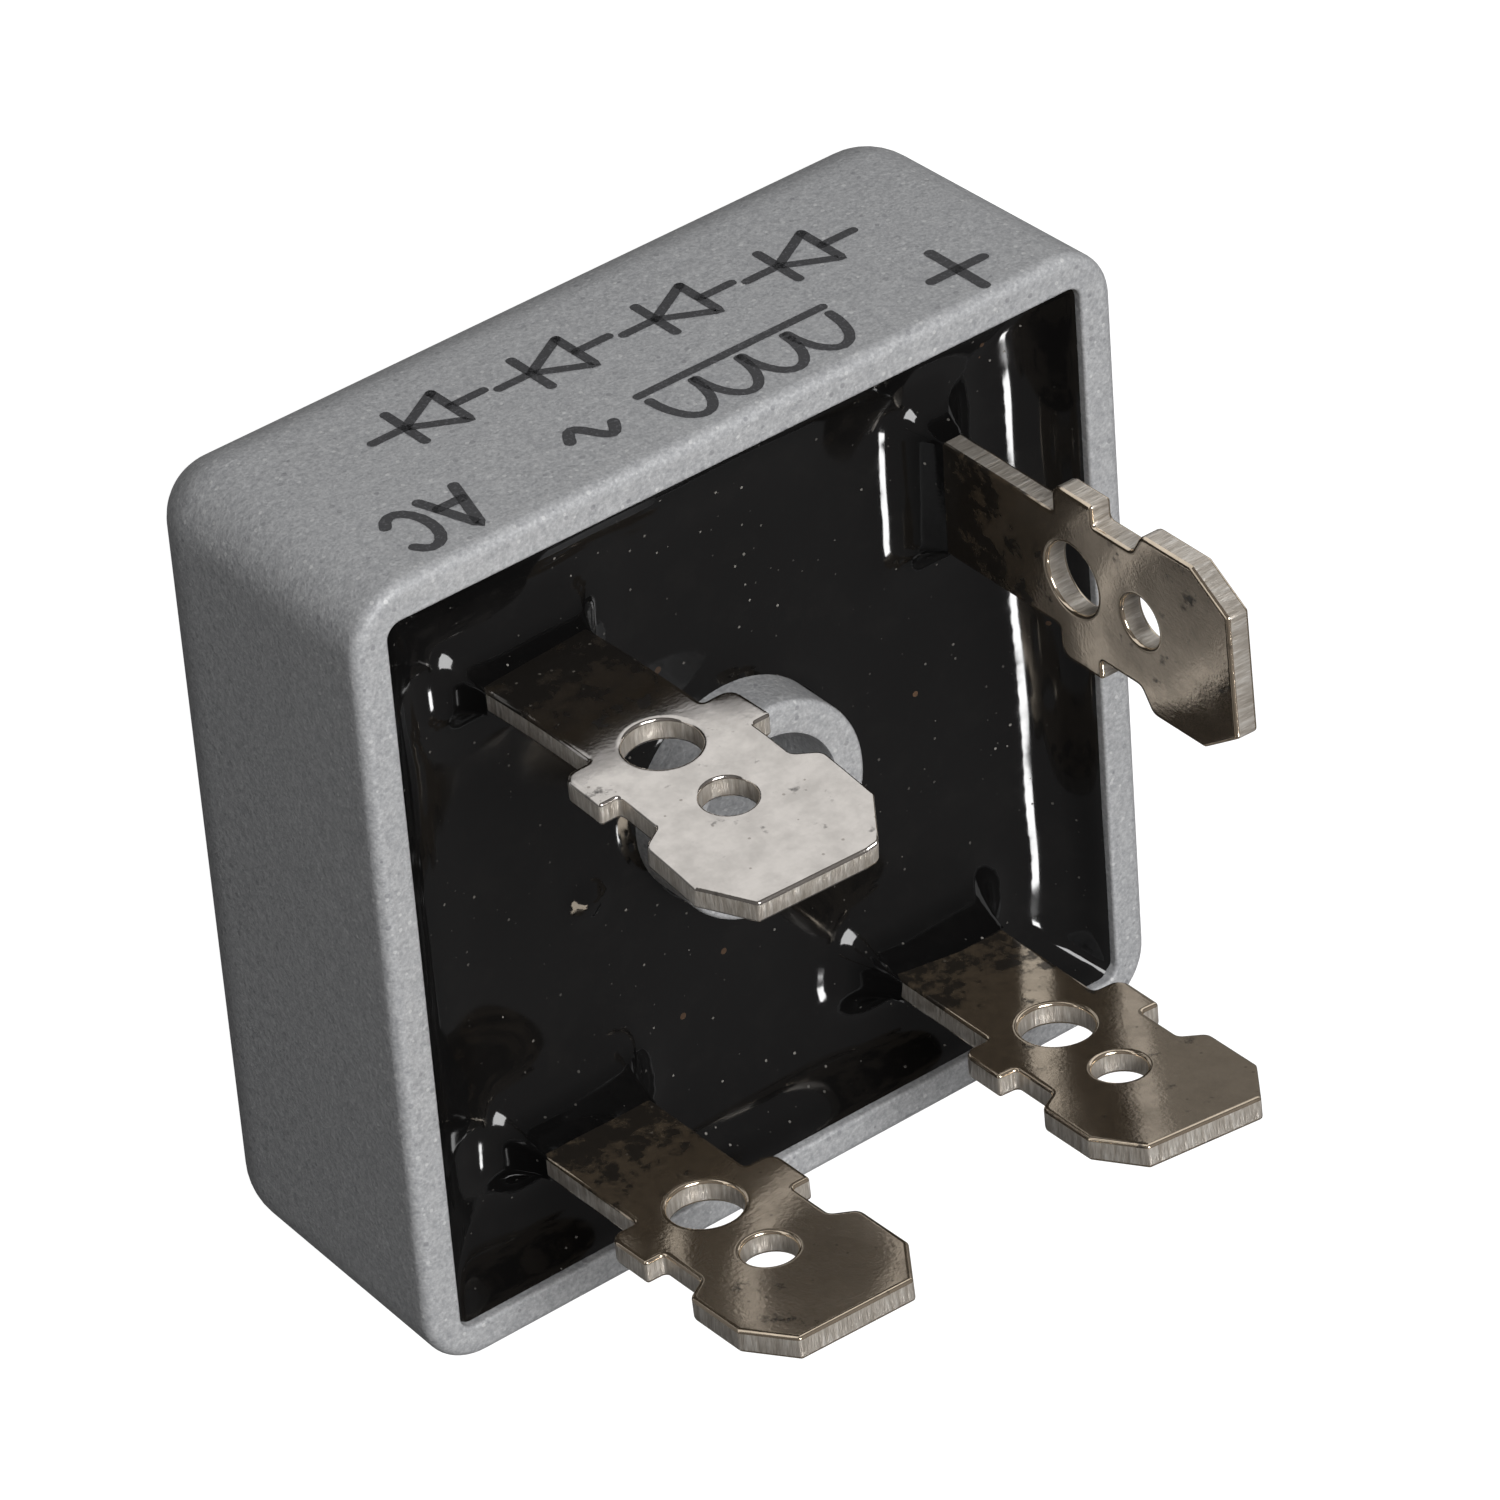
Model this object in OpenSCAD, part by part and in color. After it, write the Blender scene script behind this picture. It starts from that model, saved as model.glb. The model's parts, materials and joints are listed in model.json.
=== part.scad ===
// Square metal-case bridge rectifier with a centre screw hole and four push-on tabs.
// The origin is the middle of the mounting face, on the screw hole's axis. +Z points
// out of the open side, along the tabs, and -Y is the marked side.

/* [Case] */
// Width of the case across its open rim
case_width = 28.6; // [28:0.1:31]
// Height of the case, from the mounting face to the rim
case_height = 11.5; // [10.5:0.1:13]
// Amount that each side leans in, from the rim down to the mounting face
case_draft = 0.25; // [0.05:0.05:0.4]
// Thickness of the side walls at the rim
wall = 1.25; // [1.1:0.05:1.4]
// Thickness of the case floor
floor_thickness = 2; // [1.6:0.1:2.6]
// Radius of the four upright outer corners
corner_round = 2.1; // [1.4:0.1:2.4]
// Radius of the edge all round the mounting face
base_round = 2.6; // [1.4:0.1:2.8]
// Radius of the outer edge of the rim
rim_round = 0.4; // [0.2:0.05:0.6]
// Radius of the pocket's upright corners
pocket_round = 0.5; // [0.3:0.05:1]

/* [Screw hole] */
// Diameter of the hole for the mounting screw
hole_diameter = 5.2; // [4.2:0.1:5.6]
// Outer diameter of the boss round the hole
boss_diameter = 7.4; // [7:0.1:8.2]
// Distance from the rim down to the top of the boss
boss_drop = 0; // [0:0.1:1.3]
// Chamfer on the outer edge of the boss top
boss_chamfer = 0.2; // [0.1:0.05:0.3]
// Chamfer where the hole opens into the mounting face
hole_chamfer = 0.3; // [0.1:0.05:0.5]

/* [Tabs] */
// Thickness of the sheet that the terminals are cut from
sheet = 0.8; // [0.6:0.05:1]
// Width of the push-on tab
tab_width = 6.35; // [6.1:0.05:6.6]
// Width of the tab's flat tip between its cut corners
tip_width = 4.2; // [3.6:0.1:5]
// Height of the cut corners at the tip
tip_cut = 1.65; // [1:0.05:2]
// Height of the tips above the rim
tab_reach = 12.95; // [12:0.05:14]
// Distance from the tip down to the foot of the wide tab
tab_length = 4.05; // [3.7:0.05:4.5]
// Slope of the step between the tab and the neck
step_slope = 0.5; // [0.2:0.05:0.8]
// Width of the neck between the tab and the ears
neck_width = 4.8; // [4.4:0.1:5.2]
// Length of the bare neck between the tab and the ears
neck_length = 1.85; // [1.4:0.05:2.2]
// Width across the two stop ears
ear_width = 6.2; // [5.8:0.05:6.6]
// Height of the stop ears
ear_height = 1.9; // [1.4:0.05:2.2]
// Radius of the ears' lower corners
ear_round = 0.45; // [0.2:0.05:0.6]
// Width of the strip that rises from the potting to the ears
strip_width = 4.1; // [3.8:0.1:4.4]
// Diameter of the wire hole
wire_hole = 2.4; // [2:0.05:2.8]
// Distance from the tip down to the wire hole's centre
wire_hole_drop = 7.55; // [7.2:0.05:7.9]
// Diameter of the latch hole
latch_hole = 1.75; // [1.5:0.05:2]
// Distance from the tip down to the latch hole's centre
latch_hole_drop = 4.35; // [4.1:0.05:4.6]

/* [Terminal places] */
// Pocket wall to the middle of the sheet, for the three tabs that face the marked side
row_inset = 4.7; // [4.2:0.05:5]
// Pocket wall to the middle of the sheet, for the turned plus tab
plus_inset = 4.8; // [4.2:0.05:5]
// Pocket wall to the middle of the front AC tab and the minus tab, along the wall
column_inset = 5.5; // [5.2:0.05:5.6]
// Pocket wall to the middle of the back AC tab, along the wall
back_ac_inset = 6.9; // [6.5:0.05:7.2]
// Pocket wall to the middle of the plus tab, along the wall
plus_side_inset = 5.6; // [5.2:0.05:5.7]

/* [Lead frame] */
// Gap between the boss and the feet
boss_gap = 0.85; // [0.5:0.05:1]
// Gap between the feet and the pocket wall
foot_gap = 2.3; // [1.8:0.1:2.4]
// Length that an arm reaches past the middle of its chip
arm_overlap = 3.1; // [2.9:0.1:3.6]
// Inside radius of the bend between foot and strip
bend_inside = 0.4; // [0.3:0.05:0.6]
// Width of the slot beside the bend
bend_relief = 0.5; // [0.3:0.05:0.6]

/* [Chips] */
// Side of the square diode chips
die_size = 5.2; // [4.6:0.1:5.6]
// Thickness of the diode chips
die_thickness = 0.3; // [0.25:0.01:0.4]
// Ledge round the top of each chip, where the glass ring lies
mesa_ledge = 0.25; // [0.15:0.05:0.4]
// Thickness of each solder layer
solder_thickness = 0.1; // [0.06:0.01:0.15]
// Distance that the solder stays back from the chip's edge
solder_margin = 0.15; // [0.1:0.05:0.3]

/* [Insulation] */
// Gap between the insulating plate and the pocket wall
plate_gap = 0.75; // [0.4:0.05:1.2]
// Thickness of the insulating plate
plate_thickness = 0.63; // [0.5:0.01:1]
// Radius of the plate's corners
plate_round = 0.6; // [0.3:0.1:1]
// Gap between the boss and the hole in the plate
plate_hole_gap = 0.4; // [0.2:0.05:0.6]
// Thickness of the bond layer under the plate
bond_thickness = 0.12; // [0.05:0.01:0.2]

/* [Potting] */
// Distance from the rim down to the level middle of the potting
potting_drop = 2.3; // [2:0.1:2.8]
// Gap between the rim and the top of the potting where it wets the walls
rim_bare = 0.2; // [0.1:0.05:0.5]
// Height that the potting climbs on the boss
boss_climb = 0.4; // [0.2:0.05:0.6]
// Height that the potting climbs on the terminals
strip_climb = 1.8; // [1:0.1:2]
// Width of the thin land where the potting ends on a wall
meniscus_land = 0.1; // [0.05:0.01:0.2]

/* [Hidden] */
$fn = 64;

ARC_STEPS = 12;     // straight pieces in a quarter turn of the case's outside
OVERCUT = 1;        // length that a cutter runs past the solid it cuts
SHARP = 0.4;        // smallest radius left on the outer corners at the mounting face

pocket_width = case_width - 2 * wall;
pocket_half = pocket_width / 2;
boss_top = case_height - boss_drop;
potting_level = case_height - potting_drop;
wall_climb = potting_drop - rim_bare;

// Heights of the layers, from the case floor up
bond_z = floor_thickness;
plate_z = bond_z + bond_thickness;
lower_foot_z = plate_z + plate_thickness;
under_die_z = lower_foot_z + sheet;
die_z = under_die_z + solder_thickness;
over_die_z = die_z + die_thickness;
upper_foot_z = over_die_z + solder_thickness;

// The arms of the feet, and the chips in the middle of each side
arm_outside = pocket_half - foot_gap;
arm_inside = boss_diameter / 2 + boss_gap;
arm_width = arm_outside - arm_inside;
die_centre = (arm_outside + arm_inside) / 2;

// Heights along a terminal
tip_z = case_height + tab_reach;
tab_z = tip_z - tab_length;
neck_z = tab_z - step_slope;
ear_top_z = neck_z - neck_length;
ear_z = ear_top_z - ear_height;
bend_outside = bend_inside + sheet;

// Turns of the four sides about the screw hole's axis, from the front side
FRONT = 0;
RIGHT = 90;
BACK = 180;
LEFT = 270;

// ---- Case ----

// Points of a square with round corners at one height, counter-clockwise
function ring(half, radius, z) = [
    for (corner = [0:3], step = [0:ARC_STEPS])
        let (turn = 90 * (corner + step / ARC_STEPS))
        let (sx = corner == 0 || corner == 3 ? 1 : -1)
        let (sy = corner < 2 ? 1 : -1)
        [sx * (half - radius) + radius * cos(turn),
         sy * (half - radius) + radius * sin(turn), z]
];

// Ring of the case's outside, drawn in by an edge's rounding at that height
function case_ring(z, inset) =
    let (half = case_width / 2 - case_draft * (1 - z / case_height) - inset)
    ring(half, max(corner_round - inset, SHARP), z);

function case_rings() = concat(
    [for (step = [0:ARC_STEPS])
        let (turn = 90 * step / ARC_STEPS)
        case_ring(base_round * (1 - cos(turn)), base_round * (1 - sin(turn)))],
    [for (step = [0:ARC_STEPS / 2])
        let (turn = 180 * step / ARC_STEPS)
        case_ring(case_height - rim_round * (1 - sin(turn)), rim_round * (1 - cos(turn)))]
);

// Solid between rings that have the same number of points
module loft(rings) {
    count = len(rings[0]);
    levels = len(rings);
    sides = [
        for (level = [0:levels - 2], i = [0:count - 1])
            let (j = (i + 1) % count)
            let (low = level * count)
            let (high = low + count)
            [low + i, high + i, high + j, low + j]
    ];
    bottom = [[for (i = [0:count - 1]) i]];
    top = [[for (i = [count - 1:-1:0]) (levels - 1) * count + i]];
    polyhedron(points = [for (r = rings) each r], faces = concat(sides, bottom, top));
}

module rounded_square(size, radius) {
    inner = size - 2 * radius;
    square([inner, size], center = true);
    square([size, inner], center = true);
    for (x = [-1, 1], y = [-1, 1])
        translate([x * inner / 2, y * inner / 2]) circle(r = radius);
}

module pocket(from, to) {
    translate([0, 0, from])
        linear_extrude(to - from)
            rounded_square(pocket_width, pocket_round);
}

// Boss with a chamfered top, from the given height up
module boss(from) {
    radius = boss_diameter / 2;
    rotate_extrude()
        polygon([
            [0, from], [radius, from], [radius, boss_top - boss_chamfer],
            [radius - boss_chamfer, boss_top], [0, boss_top]
        ]);
}

module case() {
    color("silver") difference() {
        union() {
            difference() {
                loft(case_rings());
                pocket(floor_thickness, case_height + OVERCUT);
            }
            boss(floor_thickness / 2);
        }
        translate([0, 0, -OVERCUT])
            cylinder(h = case_height + 2 * OVERCUT, d = hole_diameter);
        cylinder(h = hole_chamfer, d1 = hole_diameter + 2 * hole_chamfer, d2 = hole_diameter);
    }
}

// ---- Insulation under the lead frame ----

module plate_outline(z, thickness) {
    translate([0, 0, z])
        linear_extrude(thickness)
            difference() {
                rounded_square(pocket_width - 2 * plate_gap, plate_round);
                circle(d = boss_diameter + 2 * plate_hole_gap);
            }
}

module bond_layer() {
    color("gainsboro") plate_outline(bond_z, bond_thickness);
}

module insulating_plate() {
    color("ivory") plate_outline(plate_z, plate_thickness);
}

// ---- Terminals ----

// Half of the strip's outline, from the bend up to the tip, drawn as width and height
module half_strip(from) {
    half_neck = neck_width / 2;
    half_ear = ear_width / 2;
    half_tab = tab_width / 2;
    translate([0, from]) square([strip_width / 2, ear_z - from]);
    translate([0, ear_z]) square([half_neck, tab_z - ear_z]);
    translate([0, ear_z]) square([half_ear - ear_round, ear_height]);
    translate([0, ear_z + ear_round]) square([half_ear, ear_height - ear_round]);
    translate([half_ear - ear_round, ear_z + ear_round]) circle(r = ear_round);
    polygon([
        [0, neck_z], [half_neck, neck_z], [half_tab, tab_z], [half_tab, tip_z - tip_cut],
        [tip_width / 2, tip_z], [0, tip_z]
    ]);
}

// Upright strip with its ears, neck, tab and holes, its sheet centred on Y = 0
module strip(from) {
    rotate([90, 0, 0])
        linear_extrude(sheet, center = true)
            difference() {
                union() {
                    half_strip(from);
                    mirror([1, 0]) half_strip(from);
                }
                translate([0, tip_z - wire_hole_drop]) circle(d = wire_hole);
                translate([0, tip_z - latch_hole_drop]) circle(d = latch_hole);
            }
}

// Quarter bend from the foot, which lies towards +Y, up into the strip
module bend(foot_z) {
    rotate([90, 0, 90])
        linear_extrude(strip_width, center = true)
            translate([bend_outside - sheet / 2, foot_z + bend_outside])
                intersection() {
                    difference() {
                        circle(r = bend_outside);
                        circle(r = bend_inside);
                    }
                    translate([-bend_outside, -bend_outside]) square(bend_outside);
                }
}

// One stamping for the front right corner: a foot with an arm to the chip in the
// middle of the front side and one to the chip on the right, and the strip that is
// bent up from it. "side" is the strip's place along X, and "row" its place towards -Y.
module terminal(side, row, foot_z) {
    foot_end = bend_outside - sheet / 2 - row;
    split = side - strip_width / 2 - bend_relief;
    translate([0, 0, foot_z])
        linear_extrude(sheet)
            difference() {
                union() {
                    translate([-arm_overlap, -arm_outside])
                        square([arm_overlap + arm_outside, arm_width]);
                    translate([arm_inside, -arm_outside])
                        square([arm_width, arm_outside + arm_overlap]);
                }
                translate([split, -arm_outside - OVERCUT])
                    square([arm_outside + OVERCUT - split, foot_end + arm_outside + OVERCUT]);
            }
    translate([side, -row, 0]) {
        bend(foot_z);
        strip(foot_z + bend_outside);
    }
}

module terminal_ac_front() {
    color("tan")
        terminal(pocket_half - column_inset, pocket_half - row_inset, upper_foot_z);
}

module terminal_ac_back() {
    color("tan")
        rotate([0, 0, BACK])
            terminal(pocket_half - back_ac_inset, pocket_half - row_inset, upper_foot_z);
}

module terminal_plus() {
    color("tan")
        rotate([0, 0, LEFT])
            terminal(pocket_half - plus_side_inset, pocket_half - plus_inset, lower_foot_z);
}

module terminal_minus() {
    color("tan")
        mirror([0, 1, 0])
            terminal(pocket_half - column_inset, pocket_half - row_inset, lower_foot_z);
}

// ---- Chips and solder ----

// Places its children in the middle of one side, at the given height
module at_side(turn, z) {
    rotate([0, 0, turn]) translate([0, -die_centre, z]) children();
}

// Chip with a mesa top inside its glass ledge
module die(turn) {
    color("dimgray") at_side(turn, die_z) {
        linear_extrude(die_thickness / 2) square(die_size, center = true);
        linear_extrude(die_thickness) square(die_size - 2 * mesa_ledge, center = true);
    }
}

module solder_under(turn) {
    color("lightgray") at_side(turn, under_die_z)
        linear_extrude(solder_thickness) square(die_size - 2 * solder_margin, center = true);
}

module solder_over(turn) {
    color("lightgray") at_side(turn, over_die_z)
        linear_extrude(solder_thickness)
            square(die_size - 2 * mesa_ledge - 2 * solder_margin, center = true);
}

// ---- Potting ----

// Concave corner between a level surface and a wall at X = 0, up to the given height
module meniscus_profile(climb) {
    difference() {
        square([meniscus_land + climb, climb]);
        translate([meniscus_land + climb, climb]) circle(r = climb);
    }
}

// Meniscus round a rectangle that stands on the level middle
module meniscus_round(width, depth, climb) {
    for (turn = [0, 180]) rotate([0, 0, turn]) {
        translate([width / 2, 0, 0]) rotate([90, 0, 0])
            linear_extrude(depth, center = true) meniscus_profile(climb);
        translate([0, depth / 2, 0]) rotate([90, 0, 90])
            linear_extrude(width, center = true) meniscus_profile(climb);
    }
    for (x = [-1, 1], y = [-1, 1])
        translate([x * width / 2, y * depth / 2, 0])
            rotate_extrude() meniscus_profile(climb);
}

module potting_body() {
    pocket(floor_thickness, potting_level);
    intersection() {
        pocket(potting_level, case_height);
        translate([0, 0, potting_level])
            for (turn = [FRONT, RIGHT, BACK, LEFT]) rotate([0, 0, turn])
                translate([0, -pocket_half, 0]) rotate([90, 0, 90])
                    linear_extrude(pocket_width, center = true) meniscus_profile(wall_climb);
    }
    translate([0, 0, potting_level]) {
        rotate_extrude() translate([boss_diameter / 2, 0]) meniscus_profile(boss_climb);
        strip_menisci();
    }
}

// Menisci round the four strips, where they leave the potting
module strip_menisci() {
    front_y = row_inset - pocket_half;
    column_x = pocket_half - column_inset;
    back_x = back_ac_inset - pocket_half;
    translate([column_x, front_y, 0]) meniscus_round(strip_width, sheet, strip_climb);
    translate([column_x, -front_y, 0]) meniscus_round(strip_width, sheet, strip_climb);
    translate([back_x, -front_y, 0]) meniscus_round(strip_width, sheet, strip_climb);
    translate([plus_inset - pocket_half, plus_side_inset - pocket_half, 0])
        meniscus_round(sheet, strip_width, strip_climb);
}

module potting() {
    color([0.12, 0.12, 0.12]) difference() {
        potting_body();
        boss(floor_thickness - OVERCUT);
        bond_layer();
        insulating_plate();
        terminal_plus();
        terminal_minus();
        terminal_ac_front();
        terminal_ac_back();
        for (turn = [FRONT, RIGHT, BACK, LEFT]) {
            solder_under(turn);
            die(turn);
            solder_over(turn);
        }
    }
}

case();
bond_layer();
insulating_plate();
terminal_plus();
terminal_minus();
terminal_ac_front();
terminal_ac_back();
die(FRONT);  // die_front
die(RIGHT);  // die_right
die(BACK);  // die_back
die(LEFT);  // die_left
solder_under(FRONT);  // solder_under_front
solder_under(RIGHT);  // solder_under_right
solder_under(BACK);  // solder_under_back
solder_under(LEFT);  // solder_under_left
solder_over(FRONT);  // solder_over_front
solder_over(RIGHT);  // solder_over_right
solder_over(BACK);  // solder_over_back
solder_over(LEFT);  // solder_over_left
potting();
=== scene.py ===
"""Looks of the bridge rectifier: a blasted aluminium cup, black potting and four tinned tabs.

Lengths are in millimetres until MM turns them into Blender's metres. The frame is the
CAD model's: +Z along the tabs, -Y towards the marked side.
"""

import json
import math

import bmesh
import bpy
from mathutils import Matrix, Vector, noise
from mathutils.geometry import delaunay_2d_cdt
from mathutils.kdtree import KDTree


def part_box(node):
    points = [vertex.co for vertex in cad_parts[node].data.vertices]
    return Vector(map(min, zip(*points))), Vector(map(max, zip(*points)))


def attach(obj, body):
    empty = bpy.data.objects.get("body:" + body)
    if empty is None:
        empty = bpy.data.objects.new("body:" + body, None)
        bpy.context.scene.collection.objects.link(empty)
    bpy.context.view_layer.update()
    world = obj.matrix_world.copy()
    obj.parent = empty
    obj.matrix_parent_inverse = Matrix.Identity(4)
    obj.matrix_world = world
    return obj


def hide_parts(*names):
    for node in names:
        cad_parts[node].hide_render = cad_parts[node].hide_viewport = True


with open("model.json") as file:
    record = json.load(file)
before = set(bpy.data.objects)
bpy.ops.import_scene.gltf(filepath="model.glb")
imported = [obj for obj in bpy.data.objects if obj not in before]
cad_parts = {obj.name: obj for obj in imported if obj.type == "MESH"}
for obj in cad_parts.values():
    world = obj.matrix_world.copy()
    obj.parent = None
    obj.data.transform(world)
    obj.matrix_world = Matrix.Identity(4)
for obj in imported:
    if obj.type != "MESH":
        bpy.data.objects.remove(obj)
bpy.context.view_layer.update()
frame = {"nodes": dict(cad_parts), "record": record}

MM = 0.001
BODY = "root"


# ---- Sizes ----

def box_mm(node):
    """Lowest and highest corner of a CAD node, in millimetres."""
    low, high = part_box(node)
    return Vector(low) / MM, Vector(high) / MM


POTTING_LOW, POTTING_HIGH = box_mm("potting")
MOUNTS = {mount["name"]: mount for mount in frame["record"]["mounts"]}

CASE_HEIGHT = box_mm("case")[1].z
CASE_HALF = 14.3
CASE_DRAFT = 0.25
CORNER_ROUND = 2.1
SMALLEST_CORNER_ROUND = 0.4
BASE_ROUND = 2.6
RIM_ROUND = 0.4
RIM_INNER_ROUND = 0.12
FLOOR_TOP = POTTING_LOW.z
POCKET_HALF = POTTING_HIGH.x
POCKET_ROUND = 0.5

HOLE_R = MOUNTS["screw_hole"]["dims"]["r_mm"]
HOLE_CHAMFER = 0.3
BOSS_R = 3.7
BOSS_TOP = CASE_HEIGHT
BOSS_EDGE = 0.2
BOSS_BORE_EDGE = 0.12

POTTING_LEVEL = CASE_HEIGHT - 2.3
WALL_CLIMB = POTTING_HIGH.z - POTTING_LEVEL
WALL_REACH = 1.0
BOSS_CLIMB = 0.4
BOSS_REACH = 0.5
STRIP_REACH = 0.6

SHEET = 0.8
STRIP_HALF = 2.05
NECK_HALF = 2.4
EAR_HALF = 3.1
TAB_HALF = 3.175
TIP_HALF = 2.1
EAR_ROUND = 0.45
STEP_ROUND = 0.2
EDGE_ROUND = 0.11
TIP_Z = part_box("terminal_plus")[1][2] / MM
CHAMFER_Z = TIP_Z - 1.65
TAB_Z = TIP_Z - 4.05
NECK_Z = TAB_Z - 0.5
EAR_TOP_Z = NECK_Z - 1.85
EAR_Z = EAR_TOP_Z - 1.9
WIRE_HOLE = (TIP_Z - 7.55, 1.2)
LATCH_HOLE = (TIP_Z - 4.35, 0.875)

ARM_OUTSIDE = 10.75
ARM_INSIDE = 4.55
ARM_OVERLAP = 3.1
BEND_INSIDE = 0.4
BEND_OUTSIDE = BEND_INSIDE + SHEET
BEND_LENGTH = (BEND_INSIDE + SHEET / 2) * math.pi / 2
BEND_RELIEF = 0.5


# ---- Node helpers ----

# Sockets of the Mix node, whose colour sockets share their names with others
MIX_FACTOR = 0
MIX_FIRST_COLOUR = 6
MIX_SECOND_COLOUR = 7
MIX_RESULT_COLOUR = 2


def opaque(colour):
    """A colour with full alpha; sockets stay as they are."""
    if isinstance(colour, bpy.types.NodeSocket):
        return colour
    return (*colour, 1.0)


class Nodes:
    """A material's node tree with short calls for adding and joining nodes."""

    def __init__(self, name):
        self.material = bpy.data.materials.new(name)
        self.material.use_nodes = True
        self.tree = self.material.node_tree
        self.tree.nodes.clear()
        self.output = self.tree.nodes.new("ShaderNodeOutputMaterial")
        coordinates = self.tree.nodes.new("ShaderNodeTexCoord")
        self.place = coordinates.outputs["Object"]

    def add(self, kind, inputs=None, **settings):
        node = self.tree.nodes.new(kind)
        for key, value in settings.items():
            setattr(node, key, value)
        for key, value in (inputs or {}).items():
            self.set(node, key, value)
        return node

    def set(self, node, key, value):
        if isinstance(value, bpy.types.NodeSocket):
            self.tree.links.new(value, node.inputs[key])
        else:
            node.inputs[key].default_value = value

    def noise(self, size_mm, detail=2.0, roughness=0.5, place=None):
        """Noise with features of the given size."""
        node = self.add("ShaderNodeTexNoise", {
            "Vector": place or self.place, "Scale": 1 / (size_mm * MM),
            "Detail": detail, "Roughness": roughness})
        return node.outputs["Fac"]

    def ramp(self, value, stops):
        """Colour ramp, with stops as (position, grey or colour)."""
        node = self.add("ShaderNodeValToRGB", {"Fac": value})
        elements = node.color_ramp.elements
        while len(elements) < len(stops):
            elements.new(0.5)
        for element, (position, colour) in zip(elements, stops):
            element.position = position
            if isinstance(colour, (int, float)):
                colour = (colour, colour, colour)
            element.color = (*colour, 1.0)
        return node.outputs["Color"]

    def mix(self, factor, first, second):
        """Colour between two colours."""
        node = self.add("ShaderNodeMix", data_type="RGBA")
        self.set(node, MIX_FACTOR, factor)
        self.set(node, MIX_FIRST_COLOUR, opaque(first))
        self.set(node, MIX_SECOND_COLOUR, opaque(second))
        return node.outputs[MIX_RESULT_COLOUR]

    def scale(self, value, low, high):
        """Maps 0..1 to low..high."""
        node = self.add("ShaderNodeMapRange", {"Value": value, "To Min": low, "To Max": high})
        return node.outputs["Result"]

    def calc(self, operation, first, second):
        node = self.add("ShaderNodeMath", operation=operation)
        self.set(node, 0, first)
        self.set(node, 1, second)
        return node.outputs[0]

    def bump(self, height, depth_mm, normal=None):
        """Bump whose full height is depth_mm."""
        node = self.add("ShaderNodeBump", {"Height": height, "Distance": depth_mm * MM})
        if normal is not None:
            self.set(node, "Normal", normal)
        return node.outputs["Normal"]

    def specks(self, cell_mm, size, share, seed_shift=0.0):
        """1 inside a few small round spots, 0 elsewhere: one spot in a share of the cells."""
        shifted = self.add("ShaderNodeVectorMath", {0: self.place, 1: (seed_shift,) * 3})
        cell = self.add("ShaderNodeTexVoronoi", {
            "Vector": shifted.outputs[0], "Scale": 1 / (cell_mm * MM)})
        near = self.calc("LESS_THAN", cell.outputs["Distance"], size)
        parts = self.add("ShaderNodeSeparateColor", {"Color": cell.outputs["Color"]})
        chosen = self.calc("LESS_THAN", parts.outputs[0], share)
        return self.calc("MULTIPLY", near, chosen)

    def principled(self, **inputs):
        """Principled shader with the given sockets."""
        shader = self.add("ShaderNodeBsdfPrincipled")
        for key, value in inputs.items():
            if isinstance(value, tuple):
                value = opaque(value)
            self.set(shader, key.replace("_", " "), value)
        return shader.outputs[0]

    def mix_shaders(self, factor, first, second):
        node = self.add("ShaderNodeMixShader")
        for i, value in enumerate((factor, first, second)):
            self.set(node, i, value)
        return node.outputs[0]

    def finish(self, surface):
        """Ends the tree in a shader."""
        self.tree.links.new(surface, self.output.inputs["Surface"])
        return self.material


# ---- Materials ----

def case_material():
    """Blasted aluminium under a thin grey coat: a fine grain with faint dark specks, and faint pale
    specks that are painted glints standing in for the blasted metal's sparkle.
    """
    n = Nodes("blasted_aluminium")
    grain = n.noise(0.11, detail=3, roughness=0.65)
    clumps = n.noise(0.3, detail=2, roughness=0.6)
    patches = n.noise(2.5, detail=2)
    colour = n.ramp(grain, [(0.30, (0.26, 0.265, 0.28)), (0.50, (0.455, 0.458, 0.468)),
                            (0.70, (0.70, 0.705, 0.71))])
    cloudy = n.ramp(clumps, [(0.3, (0.34, 0.345, 0.36)), (0.7, (0.58, 0.585, 0.59))])
    colour = n.mix(0.42, colour, cloudy)
    colour = n.mix(n.scale(patches, 0.0, 0.25), colour, (0.42, 0.425, 0.435))
    # Pale specks: painted glints, colour that stands in for the sparkle of light on the blasted grain
    light = n.calc("MULTIPLY", n.specks(0.34, 0.2, 0.35), 0.45)
    colour = n.mix(light, colour, (0.8, 0.8, 0.79))
    dark = n.calc("MULTIPLY", n.specks(0.45, 0.2, 0.3, 0.013), 0.5)
    colour = n.mix(dark, colour, (0.22, 0.22, 0.235))
    relief = n.bump(clumps, 0.03, n.bump(grain, 0.016))
    return n.finish(n.principled(Base_Color=colour, Metallic=0.08, Roughness=0.5,
                                 Normal=relief, Specular_IOR_Level=0.35))


EPOXY_IOR = 1.47


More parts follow.
